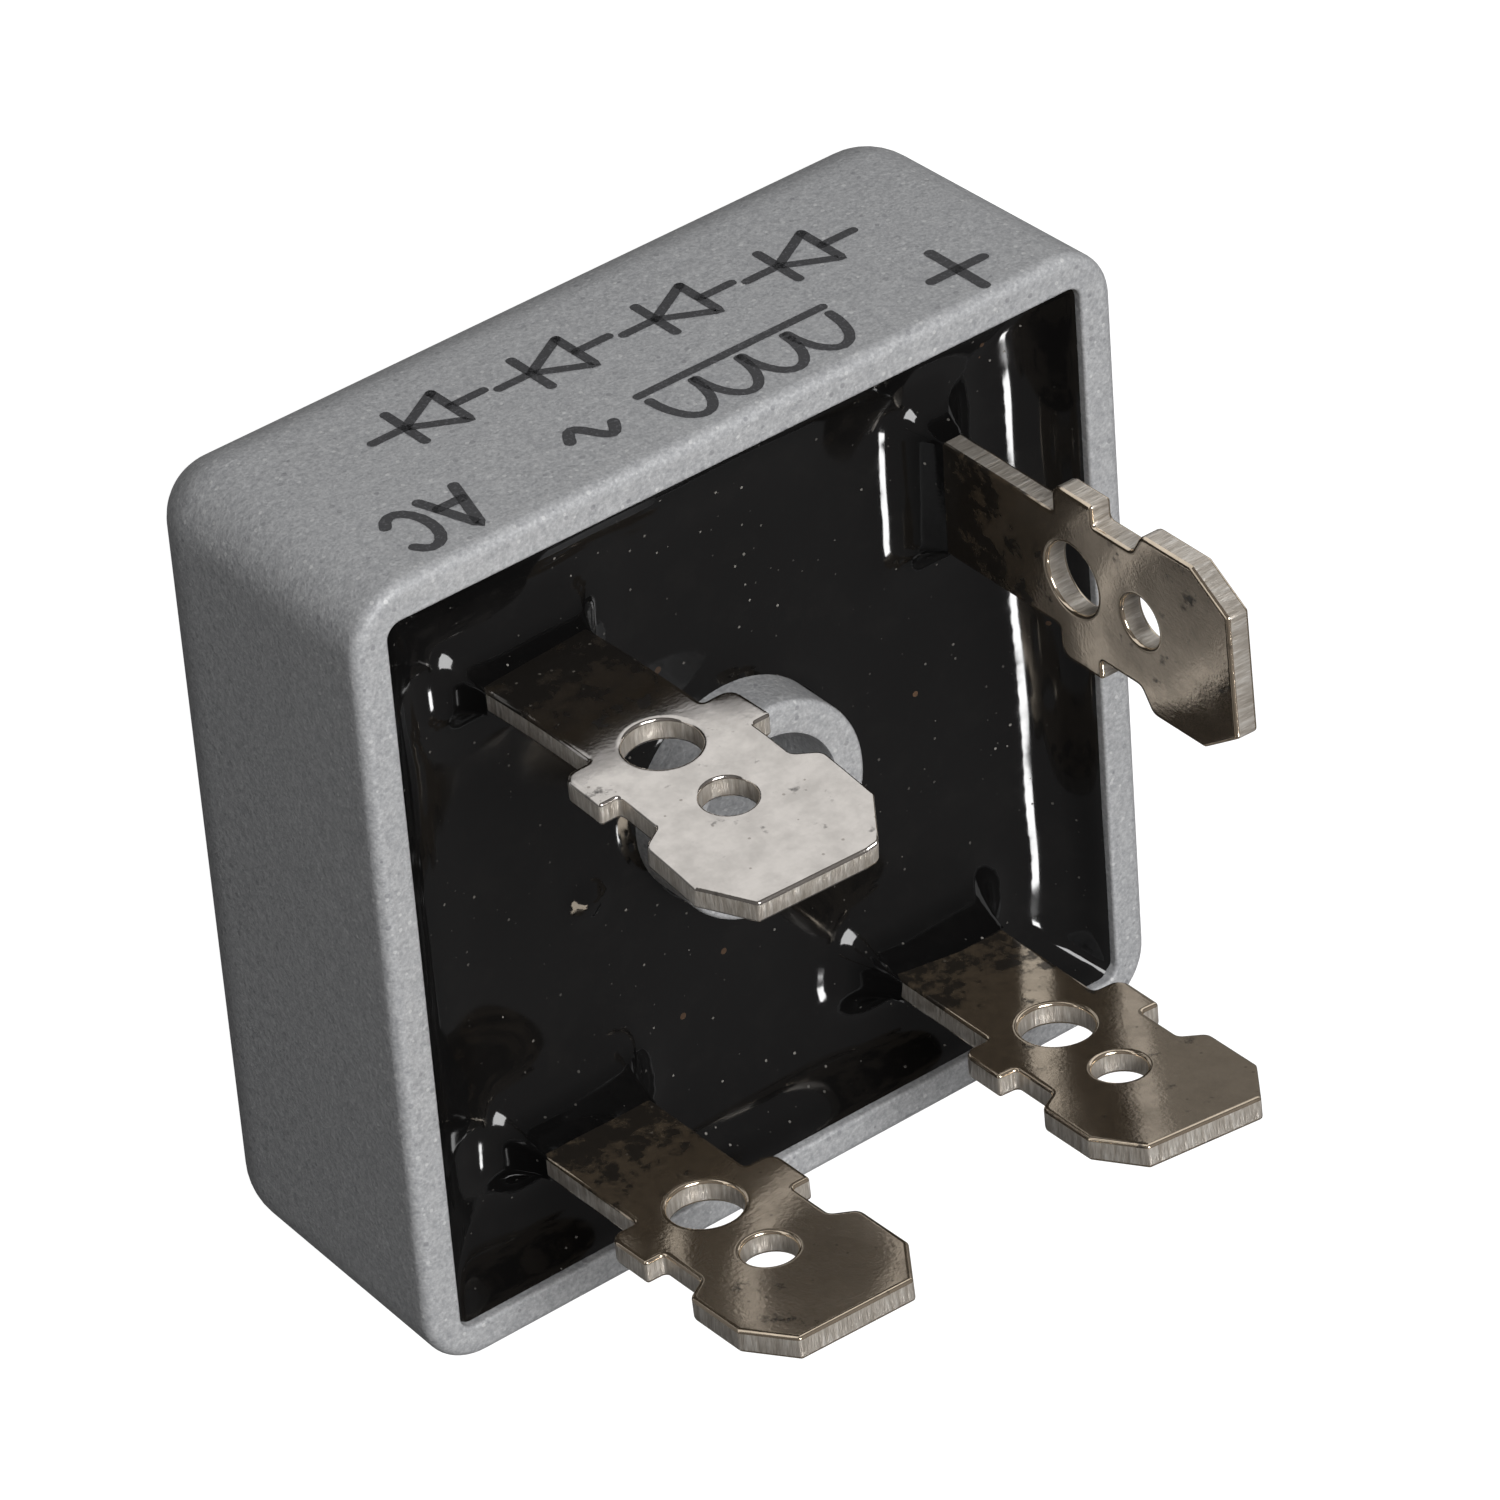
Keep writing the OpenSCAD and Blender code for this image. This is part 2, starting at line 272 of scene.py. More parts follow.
def potting_material():
    """Glossy black epoxy with slow waves, faint smears, dust and a few brown flakes."""
    n = Nodes("black_epoxy")
    clusters = n.ramp(n.noise(5.0, detail=3, roughness=0.65), [(0.42, 0.25), (0.6, 1.0)])
    dust = n.calc("MULTIPLY", n.specks(0.55, 0.085, 0.5), clusters)
    fine = n.calc("MULTIPLY", n.specks(0.3, 0.1, 0.2, 0.0171), clusters)
    flakes = n.calc("MULTIPLY", n.specks(1.6, 0.075, 0.3, 0.0092), clusters)
    smear = n.ramp(n.noise(1.6, detail=4, roughness=0.7), [(0.5, 0.0), (0.8, 1.0)])
    colour = n.mix(smear, (0.0045, 0.0043, 0.0043), (0.0075, 0.007, 0.0066))
    colour = n.mix(n.calc("MULTIPLY", fine, 0.5), colour, (0.12, 0.115, 0.105))
    colour = n.mix(n.calc("MULTIPLY", dust, 0.75), colour, (0.30, 0.285, 0.26))
    colour = n.mix(n.calc("MULTIPLY", flakes, 0.8), colour, (0.16, 0.09, 0.05))
    dirt = n.calc("MAXIMUM", dust, flakes)
    gloss = n.calc("MAXIMUM", n.scale(smear, 0.07, 0.16), n.calc("MULTIPLY", dirt, 0.6))
    relief = n.bump(n.noise(5.0, detail=1), 0.02)
    return n.finish(n.principled(Base_Color=colour, Roughness=gloss, Normal=relief,
                                 IOR=EPOXY_IOR))


# Heights between which epoxy smears on the tabs fade out
SMEARS_FULL_Z = 10.5
SMEARS_END_Z = 16.5
DULL_SHARE = 0.78


def plate_material(name, base, haze_share):
    """Tin plate: warm, nearly mirror-bright metal under a thin brown haze and epoxy smears."""
    n = Nodes(name)
    stains = n.noise(1.1, detail=4, roughness=0.65)
    fine = n.noise(0.28, detail=3, roughness=0.7)
    dull = tuple(DULL_SHARE * c for c in base)
    colour = n.mix(n.ramp(stains, [(0.36, 0.0), (0.6, 1.0)]), dull, base)
    colour = n.mix(n.scale(fine, 0.0, 0.35), colour, dull)
    specks = n.specks(0.4, 0.13, 0.2)
    colour = n.mix(n.calc("MULTIPLY", specks, 0.5), colour, (0.16, 0.14, 0.12))
    gloss = n.ramp(stains, [(0.35, 0.15), (0.7, 0.09)])
    waves = n.bump(n.noise(2.4, detail=1), 0.03)
    relief = n.bump(n.noise(0.14, detail=3), 0.003, waves)
    metal = n.principled(Base_Color=colour, Metallic=1.0, Roughness=gloss, Normal=relief)
    haze = n.principled(Base_Color=(0.34, 0.25, 0.16), Roughness=0.5, Normal=relief)
    plated = n.mix_shaders(n.scale(fine, 0.4 * haze_share, 1.6 * haze_share), metal, haze)
    height = n.add("ShaderNodeSeparateXYZ", {0: n.place}).outputs[2]
    near_root = n.add("ShaderNodeMapRange", {
        "Value": height, "From Min": SMEARS_END_Z * MM, "From Max": SMEARS_FULL_Z * MM})
    blots = n.noise(0.9, detail=4, roughness=0.65)
    smears = n.calc("ADD", blots, n.calc("MULTIPLY", near_root.outputs["Result"], 0.3))
    smears = n.ramp(smears, [(0.62, 0.0), (0.72, 0.85)])
    dust = n.calc("MULTIPLY", n.specks(0.4, 0.12, 0.3, 0.0137), 0.7)
    epoxy_colour = n.mix(dust, (0.014, 0.0125, 0.011), (0.2, 0.185, 0.16))
    smear = n.principled(Base_Color=epoxy_colour, Roughness=0.28, Normal=relief)
    return n.finish(n.mix_shaders(smears, plated, smear))


# Noise scale along the sheared lines, against 1 across them
LINE_STRETCH = 0.12


def edge_material(name, thickness_axis):
    """Sheared edge of the sheet: pale, rough, with fine lines across its thickness."""
    n = Nodes(name)
    squeeze = [1, 1, 1]
    squeeze[thickness_axis] = LINE_STRETCH
    along = n.add("ShaderNodeVectorMath", {0: n.place, 1: tuple(squeeze)}, operation="MULTIPLY")
    lines = n.noise(0.13, detail=3, roughness=0.7, place=along.outputs[0])
    spots = n.noise(0.35, detail=2)
    colour = n.ramp(lines, [(0.32, (0.36, 0.315, 0.265)), (0.5, (0.58, 0.53, 0.47)),
                            (0.68, (0.86, 0.82, 0.76))])
    colour = n.mix(n.scale(spots, 0.0, 0.6), colour, (0.50, 0.45, 0.385))
    return n.finish(n.principled(Base_Color=colour, Metallic=0.55, Roughness=0.34,
                                 Normal=n.bump(lines, 0.04)))


def ink_material():
    """Black marking ink, thin enough for the grain to break it up a little."""
    n = Nodes("marking_ink")
    worn = n.ramp(n.noise(0.12, detail=3, roughness=0.7), [(0.54, 0.0), (0.76, 1.0)])
    colour = n.mix(worn, (0.02, 0.02, 0.023), (0.14, 0.14, 0.15))
    relief = n.bump(n.noise(0.16), 0.02)
    return n.finish(n.principled(Base_Color=colour, Roughness=0.6, Normal=relief))


def plain_material(name, colour, roughness, metallic=0.0):
    """Simple finish for the pieces that the potting hides."""
    n = Nodes(name)
    grain = n.noise(0.5, detail=3)
    darker = tuple(0.75 * c for c in colour)
    return n.finish(n.principled(Base_Color=n.mix(grain, darker, colour), Metallic=metallic,
                                 Roughness=roughness, Normal=n.bump(grain, 0.01)))


# ---- Mesh helpers ----

def new_piece(name, points, faces, materials, smooth_angle, face_materials=None):
    """Mesh object from points in millimetres, shaded smooth below an angle."""
    mesh = bpy.data.meshes.new(name)
    mesh.from_pydata([tuple(c * MM for c in p) for p in points], [], faces)
    for material in materials:
        mesh.materials.append(material)
    build = bmesh.new()
    build.from_mesh(mesh)
    if face_materials:
        for face, index in zip(build.faces, face_materials):
            face.material_index = index
    bmesh.ops.recalc_face_normals(build, faces=build.faces)
    shade(build, smooth_angle)
    build.to_mesh(mesh)
    build.free()
    piece = bpy.data.objects.new(name, mesh)
    bpy.context.scene.collection.objects.link(piece)
    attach(piece, BODY)
    return piece


def shade(build, smooth_angle):
    """Smooth shading, with edges sharper than the angle kept sharp."""
    limit = math.radians(smooth_angle)
    for face in build.faces:
        face.smooth = True
    for edge in build.edges:
        edge.smooth = len(edge.link_faces) == 2 and edge.calc_face_angle(0) < limit


def closed_loft(rings):
    """Points and faces of a surface through rings of equal counts, the last joined to the first."""
    count = len(rings[0])
    points = [p for ring in rings for p in ring]
    faces = []
    for level in range(len(rings)):
        low = level * count
        high = ((level + 1) % len(rings)) * count
        for i in range(count):
            j = (i + 1) % count
            faces.append((low + i, low + j, high + j, high + i))
    return points, faces


CORNER_STEPS = 14
SIDE_STEPS = 22


def square_ring(half, radius, z, corner_steps=CORNER_STEPS, side_steps=SIDE_STEPS):
    """Square with round corners, counter-clockwise from the +X side's upper end."""
    straight = half - radius
    ring = []
    for corner in range(4):
        turn = Matrix.Rotation(math.radians(90 * corner), 2)
        for step in range(corner_steps):
            angle = math.radians(90 * step / corner_steps)
            ring.append(turn @ Vector((straight + radius * math.cos(angle),
                                       straight + radius * math.sin(angle))))
        for step in range(side_steps):
            x = straight - 2 * straight * step / side_steps
            ring.append(turn @ Vector((x, half)))
    return [Vector((p.x, p.y, z)) for p in ring]


def round_ring(radius, z, like):
    """Circle whose points lie in the directions of another ring's points."""
    ring = []
    for p in like:
        angle = math.atan2(p.y, p.x)
        ring.append(Vector((radius * math.cos(angle), radius * math.sin(angle), z)))
    return ring


def fillet(steps):
    """(1 - cos, 1 - sin) of a quarter turn in equal steps."""
    turns = [math.radians(90 * step / steps) for step in range(steps + 1)]
    return [(1 - math.cos(turn), 1 - math.sin(turn)) for turn in turns]


def loop_edges(counts):
    """Edges of closed loops whose points follow one another in one list."""
    edges = []
    start = 0
    for count in counts:
        edges += [(start + i, start + (i + 1) % count) for i in range(count)]
        start += count
    return edges


def triangle_middle(points, triangle):
    """Middle of a triangle given by its points' indices."""
    return sum((points[i] for i in triangle), Vector((0, 0))) / 3


# ---- Case ----

def case_ring(z, inset):
    half = CASE_HALF - CASE_DRAFT * (1 - z / CASE_HEIGHT) - inset
    return square_ring(half, max(CORNER_ROUND - inset, SMALLEST_CORNER_ROUND), z)


def case_rings():
    """Rings from the hole's lower edge, out and up over the rim, and back up the boss.

    Rings close to an edge keep the flat or straight stretch beside it flat in the shading.
    """
    outline = case_ring(CASE_HEIGHT / 2, 0)
    rings = [
        round_ring(HOLE_R, HOLE_CHAMFER, outline),
        round_ring(HOLE_R + HOLE_CHAMFER, 0, outline),
        round_ring(HOLE_R + HOLE_CHAMFER + 0.15, 0, outline),
    ]
    inner = round_ring(HOLE_R + 2, 0, outline)
    outer = case_ring(0, BASE_ROUND)
    for share in (0, 0.25, 0.5, 0.75, 0.95):
        rings.append([a.lerp(b, share) for a, b in zip(inner, outer)])
    for rise, inset in fillet(14):
        rings.append(case_ring(BASE_ROUND * rise, BASE_ROUND * inset))
    side_height = CASE_HEIGHT - RIM_ROUND - BASE_ROUND
    for share in (0.03, 0.2, 0.4, 0.6, 0.8, 0.97):
        rings.append(case_ring(BASE_ROUND + side_height * share, 0))
    for inset, drop in fillet(7):
        rings.append(case_ring(CASE_HEIGHT - RIM_ROUND * drop, RIM_ROUND * inset))
    rim_outside = case_ring(CASE_HEIGHT, RIM_ROUND)
    rim_inside = square_ring(POCKET_HALF + RIM_INNER_ROUND, POCKET_ROUND + RIM_INNER_ROUND,
                             CASE_HEIGHT)
    for share in (0.06, 0.5, 0.94):
        rings.append([a.lerp(b, share) for a, b in zip(rim_outside, rim_inside)])
    for drop, inset in fillet(4):
        rings.append(square_ring(POCKET_HALF + RIM_INNER_ROUND * inset,
                                 POCKET_ROUND + RIM_INNER_ROUND * inset,
                                 CASE_HEIGHT - RIM_INNER_ROUND * drop))
    for z in (CASE_HEIGHT - 0.4, FLOOR_TOP + 0.3, FLOOR_TOP):
        rings.append(square_ring(POCKET_HALF, POCKET_ROUND, z))
    pocket = rings[-1]
    rings.append([a.lerp(b, 0.5) for a, b in zip(pocket, round_ring(BOSS_R, FLOOR_TOP, pocket))])
    for z in (FLOOR_TOP, FLOOR_TOP + 0.3, BOSS_TOP - BOSS_EDGE - 0.3, BOSS_TOP - BOSS_EDGE):
        rings.append(round_ring(BOSS_R, z, outline))
    for inset, drop in fillet(4)[1:]:
        rings.append(round_ring(BOSS_R - BOSS_EDGE * inset, BOSS_TOP - BOSS_EDGE * drop, outline))
    rings.append(round_ring(HOLE_R + BOSS_BORE_EDGE, BOSS_TOP, outline))
    rings.append(round_ring(HOLE_R + BOSS_BORE_EDGE / 4, BOSS_TOP - BOSS_BORE_EDGE / 4, outline))
    for z in (BOSS_TOP - BOSS_BORE_EDGE, BOSS_TOP - 0.5, HOLE_CHAMFER + 0.5, HOLE_CHAMFER + 0.1):
        rings.append(round_ring(HOLE_R, z, outline))
    return rings


def make_case(material):
    points, faces = closed_loft(case_rings())
    case = new_piece("case_shell", points, faces, [material], 40)
    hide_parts("case")
    return case


# ---- Potting ----

BLADE_HEIGHTS = (POTTING_LEVEL, 16, TIP_Z)
BLADE_SHIFTS = {
    # (X, Y) that handling has bent each blade away from upright, at the three heights
    "terminal_plus": ((0, 0), (0, 0), (0.19, -0.27)),
    "terminal_minus": ((-0.25, 0.35), (-0.13, 0.1), (0.1, -0.5)),
    "terminal_ac_front": ((0, -0.1), (0, -0.35), (0.3, 0.15)),
    "terminal_ac_back": ((-0.25, 0.65), (-0.15, 0.5), (0.3, -0.25)),
}
# Degrees that each blade is twisted about its length
BLADE_TWISTS = {
    "terminal_plus": 0, "terminal_minus": 0, "terminal_ac_front": 1.3, "terminal_ac_back": -2.3,
}
# Below this height a blade is straight
BLADE_BEND_Z = 5.4
# Half the height over which a blade's lean is measured
LEAN_STEP = 0.1
# The front tab's inner ear and the edge above it lean forward: where the lean starts, its
# slope, the rise after which it stays as it is, and the width over which it comes in
EAR_BEND_Z = EAR_Z - 0.3
EAR_BEND = 0.075
EAR_BEND_RISE = 2.5
EAR_BEND_WIDTH = 0.6
# How far the potting climbs up each strip
MENISCUS = {
    "terminal_plus": 1.7, "terminal_minus": 2.4, "terminal_ac_front": 1.8, "terminal_ac_back": 2.5,
}


def smooth_step(value):
    value = min(max(value, 0), 1)
    return value * value * (3 - 2 * value)


def blade_shift(name, z):
    """Shift of a blade's middle at a height: a parabola through its three given places."""
    a, b, c = BLADE_HEIGHTS
    root, middle, tip = (Vector(shift) for shift in BLADE_SHIFTS[name])
    h = max(z, a)
    shift = root * ((h - b) * (h - c) / ((a - b) * (a - c)))
    shift += middle * ((h - a) * (h - c) / ((b - a) * (b - c)))
    shift += tip * ((h - a) * (h - b) / ((c - a) * (c - b)))
    return shift * smooth_step((z - BLADE_BEND_Z) / (a - BLADE_BEND_Z))


def blade_centre(name):
    """Middle of an upright blade in plan, from its mount."""
    x, y, _ = MOUNTS[name.replace("terminal", "tab")]["pos_m"]
    return Vector((x / MM, y / MM))


def bent_blade(name, point):
    """Place of a terminal's point once its blade is bent and twisted a little."""
    lean = blade_shift(name, point.z + LEAN_STEP) - blade_shift(name, point.z - LEAN_STEP)
    lean /= 2 * LEAN_STEP
    twist = math.radians(BLADE_TWISTS[name]) * smooth_step(
        (point.z - BLADE_BEND_Z) / (POTTING_LEVEL - BLADE_BEND_Z))
    turn = Matrix.Rotation(math.atan(lean.x), 3, "Y") @ Matrix.Rotation(-math.atan(lean.y), 3, "X")
    turn = turn @ Matrix.Rotation(twist, 3, "Z")
    centre = blade_centre(name)
    if name == "terminal_ac_front" and point.z > EAR_BEND_Z:
        beyond = centre.x - point.x - STRIP_HALF + EAR_BEND_WIDTH / 2
        out = smooth_step(beyond / EAR_BEND_WIDTH)
        lean_y = out * EAR_BEND * min(point.z - EAR_BEND_Z, EAR_BEND_RISE)
        point = point - Vector((0, lean_y, 0))
    centre = Vector((centre.x, centre.y, point.z))
    return centre + blade_shift(name, point.z).to_3d() + turn @ (point - centre)


def strip_roots():
    """Middle, half sizes and meniscus height of each strip where it leaves the potting."""
    roots = []
    for name, height in MENISCUS.items():
        centre = blade_centre(name) + blade_shift(name, POTTING_LEVEL)
        half = (SHEET / 2, STRIP_HALF) if name == "terminal_plus" else (STRIP_HALF, SHEET / 2)
        roots.append((centre, half, height))
    return roots


STRIP_ROOTS = strip_roots()


# How uneven the menisci are along the walls and round the strips, and the surface itself
WALL_WAVES = 0.07
STRIP_LUMPS = 0.12
RIPPLE = 0.04
# Powers that join two walls' menisci in a corner and level them off; higher is sharper
CORNER_POWER = 10
LEVEL_POWER = 8
# Share of a strip's meniscus that is lost where the wall's already stands at its full height
SHARED_CLIMB = 0.3

# A drop that stands on the potting beside the front tab
DROP_MIDDLE = Vector((5.4, 1.9))
DROP_RADIUS = 0.45
DROP_HEIGHT = 0.34


def climb(distance, height, reach):
    """Height of a meniscus at a distance from what it wets."""
    return height * math.exp(-max(distance, 0) / reach)


def potting_height(x, y):
    """Height of the potting's surface above its level middle."""
    from_boss = math.hypot(x, y) - BOSS_R
    wavy = 1 + WALL_WAVES * noise.noise(Vector((x, y, 3)) * 0.3)
    walls = [climb(POCKET_HALF - abs(c), WALL_CLIMB + 0.1, WALL_REACH * wavy) for c in (x, y)]
    wall = (walls[0] ** CORNER_POWER + walls[1] ** CORNER_POWER) ** (1 / CORNER_POWER)
    wall /= (1 + (wall / WALL_CLIMB) ** LEVEL_POWER) ** (1 / LEVEL_POWER)
    total = max(climb(from_boss, BOSS_CLIMB, BOSS_REACH), wall)
    for centre, (half_x, half_y), height in STRIP_ROOTS:
        dx = max(abs(x - centre.x) - half_x, 0)
        dy = max(abs(y - centre.y) - half_y, 0)
        lumpy = 1 + STRIP_LUMPS * noise.noise(Vector((x, y, 7)) * 0.5)
        rise = climb(math.hypot(dx, dy), height, STRIP_REACH * lumpy)
        total += rise * (1 - SHARED_CLIMB * wall / WALL_CLIMB)
    from_drop = (Vector((x, y)) - DROP_MIDDLE).length
    total += DROP_HEIGHT * math.exp(-(from_drop / DROP_RADIUS) ** 2)
    return total + RIPPLE * noise.noise(Vector((x, y, 0)) * 0.25)


# Steps of the potting's mesh, and how far its rows lie from the walls, strips and boss; the
# first two strip rows lie under the strip and on its faces
FILL_STEP = 0.34
SIDE_STEP = 0.17
BOSS_POINTS = 120
EDGE_GAP = 0.03
WALL_ROWS = (0.07, 0.15, 0.25, 0.37, 0.51, 0.67, 0.85, 1.05, 1.28, 1.54, 1.84)
STRIP_ROWS = (-0.15, 0, 0.05, 0.11, 0.18, 0.27, 0.38, 0.51, 0.67, 0.86, 1.1, 1.38)
BOSS_ROWS = (0.06, 0.14, 0.25, 0.4, 0.6, 0.85)


def outset_box(centre, half, distance, step):
    """Points round a box at a distance from it, with quarter circles at its corners."""
    points = []
    reach = max(distance, 0)
    half_x, half_y = (h + min(distance, 0) for h in half)
    corners = ((half_x, half_y), (-half_x, half_y), (-half_x, -half_y), (half_x, -half_y))
    for i, corner in enumerate(corners):
        corner = Vector(corner)
        count = max(1, round(reach * math.pi / 2 / step))
        for j in range(count + 1):
            angle = math.pi / 2 * (i + j / count)
            points.append(centre + corner + reach * Vector((math.cos(angle), math.sin(angle))))
        after = Vector(corners[(i + 1) % 4])
        away = reach * Vector((math.cos(math.pi / 2 * (i + 1)), math.sin(math.pi / 2 * (i + 1))))
        count = math.ceil((after - corner).length / step)
        points += [centre + away + corner.lerp(after, j / count) for j in range(1, count)]
    return points


def potting_points(outer, boss):
    """Points of the potting's top: rows that follow its edges, then an even fill.

    Each row comes with the least distance that its points keep from earlier ones.
    """
    rows = []
    for centre, half, _ in STRIP_ROOTS:
        rows += [(outset_box(centre, half, d, 0.14 + 0.1 * max(d, 0)), 0.04 + 0.12 * max(d, 0))
                 for d in STRIP_ROWS]
    for d in BOSS_ROWS:
        rows.append(([p * (1 + d / BOSS_R) for p in boss], 0.04 + 0.1 * d))
    for d in WALL_ROWS:
        rows.append(([p * (1 - d / POCKET_HALF) for p in outer], 0.05 + 0.08 * d))
    count = int(2 * POCKET_HALF / FILL_STEP)
    grid = [Vector((FILL_STEP * (i - count / 2 + 0.5 * (j % 2)), FILL_STEP * (j - count / 2)))
            for i in range(count + 1) for j in range(count + 1)]
    rows.append((grid, 0.6 * FILL_STEP))
    points = list(outer) + list(boss)
    for row, clearance in rows:
        tree = KDTree(len(points))
        for i, p in enumerate(points):
            tree.insert(p.to_3d(), i)
        tree.balance()
        points += [p for p in row if p.length > BOSS_R + EDGE_GAP
                   and max(abs(p.x), abs(p.y)) < POCKET_HALF - EDGE_GAP
                   and tree.find(p.to_3d())[2] > clearance]
    return points


def outside_boss(point):
    return point.length > BOSS_R * 0.999


def make_potting(material):
    side_steps = round(2 * POCKET_HALF / SIDE_STEP)
    outer = [p.to_2d() for p in square_ring(POCKET_HALF, POCKET_ROUND, 0, 6, side_steps)]
    turns = [2 * math.pi * i / BOSS_POINTS for i in range(BOSS_POINTS)]
    boss = [Vector((BOSS_R * math.cos(a), BOSS_R * math.sin(a))) for a in turns]
    edges = loop_edges((len(outer), len(boss)))
    top, _, triangles, *_ = delaunay_2d_cdt(potting_points(outer, boss), edges, [], 0, 1e-6)
    triangles = [t for t in triangles if outside_boss(triangle_middle(top, t))]
    points = [Vector((p.x, p.y, POTTING_LEVEL + potting_height(p.x, p.y))) for p in top]
    faces = [tuple(t) for t in triangles]
    start = 0
    base = len(points)
    for loop in (outer, boss):
        points += [Vector((p.x, p.y, FLOOR_TOP)) for p in loop]
        for i in range(len(loop)):
            j = (i + 1) % len(loop)
            faces.append((start + i, start + j, base + start + j, base + start + i))
        start += len(loop)
    faces += bottom_faces(points, base, len(outer), len(boss))
    potting = new_piece("potting_cast", points, faces, [material], 60)
    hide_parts("potting")
    return potting


def bottom_faces(points, base, outer_count, boss_count):
    """Triangles between the two lower loops of the potting."""
    loops = [p.to_2d() for p in points[base:base + outer_count + boss_count]]
    edges = loop_edges((outer_count, boss_count))
    flat, _, triangles, *_ = delaunay_2d_cdt(loops, edges, [], 0, 1e-6)
    return [tuple(base + i for i in reversed(t)) for t in triangles
            if outside_boss(triangle_middle(flat, t))]


# ---- Terminals ----

HOLE_POINTS = 48
FILL_SPACING = 0.55
FILL_CLEARANCE = 0.25
OUTLINE_STEP = 0.35
BEND_STEP = 0.13


class Stamping:
    """One terminal, drawn flat and then bent up, in the place of the front right corner.

    Flat coordinates are x, and f that equals y on the foot and runs on past the bend.
    """

    def __init__(self, side, row, foot_z):
        self.side = side
        self.row = row
        self.foot_z = foot_z
        self.foot_end = BEND_OUTSIDE - SHEET / 2 - row
        self.split = side - STRIP_HALF - BEND_RELIEF

    def flat(self, z):
        """Flat coordinate of a height on the strip."""
        return self.foot_end - BEND_LENGTH - (z - self.foot_z - BEND_OUTSIDE)

    def corners(self):
        """Outline of the stamping as (x, f, corner radius), counter-clockwise."""
        left = [
            (STRIP_HALF, self.foot_end, 0.1), (STRIP_HALF, self.flat(EAR_Z), 0.15),
            (EAR_HALF, self.flat(EAR_Z), EAR_ROUND), (EAR_HALF, self.flat(EAR_TOP_Z), 0.12),
            (NECK_HALF, self.flat(EAR_TOP_Z), 0.15), (NECK_HALF, self.flat(NECK_Z), 0.3),
            (TAB_HALF, self.flat(TAB_Z), 0.4), (TAB_HALF, self.flat(CHAMFER_Z), STEP_ROUND),
            (TIP_HALF, self.flat(TIP_Z), 0.15),
        ]
        strip = [(self.side - w, f, r) for w, f, r in left]
        strip += [(self.side + w, f, r) for w, f, r in reversed(left)]
        return [
            (-ARM_OVERLAP, -ARM_INSIDE, STEP_ROUND), (-ARM_OVERLAP, -ARM_OUTSIDE, STEP_ROUND),
            (self.split, -ARM_OUTSIDE, STEP_ROUND), (self.split, self.foot_end, 0.1),
            *strip,
            (ARM_OUTSIDE, self.foot_end, STEP_ROUND), (ARM_OUTSIDE, ARM_OVERLAP, STEP_ROUND),
            (ARM_INSIDE, ARM_OVERLAP, STEP_ROUND), (ARM_INSIDE, -ARM_INSIDE, STEP_ROUND),
        ]

    def in_bend(self, f):
        return self.foot_end - BEND_LENGTH - 0.05 < f < self.foot_end + 0.05

    def outline(self):
        """Outline with round corners, cut into short lengths."""
        corners = self.corners()
        rounded = []
        for i, (x, f, radius) in enumerate(corners):
            before = Vector(corners[i - 1][:2])
            after = Vector(corners[(i + 1) % len(corners)][:2])
            rounded += round_corner(before, Vector((x, f)), after, radius)
        points = []
        for i, start in enumerate(rounded):
            end = rounded[(i + 1) % len(rounded)]
            step = BEND_STEP if self.in_bend((start.y + end.y) / 2) else OUTLINE_STEP
            count = max(1, math.ceil((end - start).length / step))
            points += [start.lerp(end, j / count) for j in range(count)]
        return points

    def hole(self, z, radius):
        """Circle round a hole, clockwise so that its metal lies on the left."""
        turns = [-2 * math.pi * i / HOLE_POINTS for i in range(HOLE_POINTS)]
        middle = Vector((self.side, self.flat(z)))
        return [middle + radius * Vector((math.cos(a), math.sin(a))) for a in turns]

    def bent(self, x, f, depth):
        """Place of a flat point, depth above the foot's underside, once bent up."""
        run = self.foot_end - f
        beside = x < self.split + BEND_RELIEF / 2 and f > -ARM_OUTSIDE - 1
        if run <= 0 or beside:
            return Vector((x, f, self.foot_z + depth))
        centre_z = self.foot_z + BEND_OUTSIDE
        radius = BEND_OUTSIDE - depth
        if run < BEND_LENGTH:
            turn = run / BEND_LENGTH * math.pi / 2
            return Vector((x, self.foot_end - radius * math.sin(turn),
                           centre_z - radius * math.cos(turn)))
        return Vector((x, self.foot_end - radius, centre_z + run - BEND_LENGTH))


def round_corner(before, corner, after, radius, steps=5):
    """Arc that replaces a corner."""
    inward = (before - corner).normalized()
    outward = (after - corner).normalized()
    half = inward.angle(outward) / 2
    middle = (inward + outward).normalized()
    centre = corner + middle * radius / math.sin(half)
    start = corner + inward * radius / math.tan(half) - centre
    end = corner + outward * radius / math.tan(half) - centre
    sweep = math.atan2(start.x * end.y - start.y * end.x, start.dot(end))
    turns = [Matrix.Rotation(sweep * i / steps, 2) for i in range(steps + 1)]
    return [centre + turn @ start for turn in turns]


def inset_loop(loop, distance):
    """Loop drawn in towards the metal on its left."""
    result = []
    for i, point in enumerate(loop):
        before = (point - loop[i - 1]).normalized()
        after = (loop[(i + 1) % len(loop)] - point).normalized()
        normal = Vector((-before.y - after.y, before.x + after.x)).normalized()
        lean = max(normal.dot(Vector((-before.y, before.x))), 0.5)
        result.append(point + normal * distance / lean)
    return result


def inside(point, loop):
    """Whether a point lies in a closed loop."""
    found = False
    for i, a in enumerate(loop):
        b = loop[i - 1]
        if (a.y > point.y) != (b.y > point.y):
            if point.x < (b.x - a.x) * (point.y - a.y) / (b.y - a.y) + a.x:
                found = not found
    return found


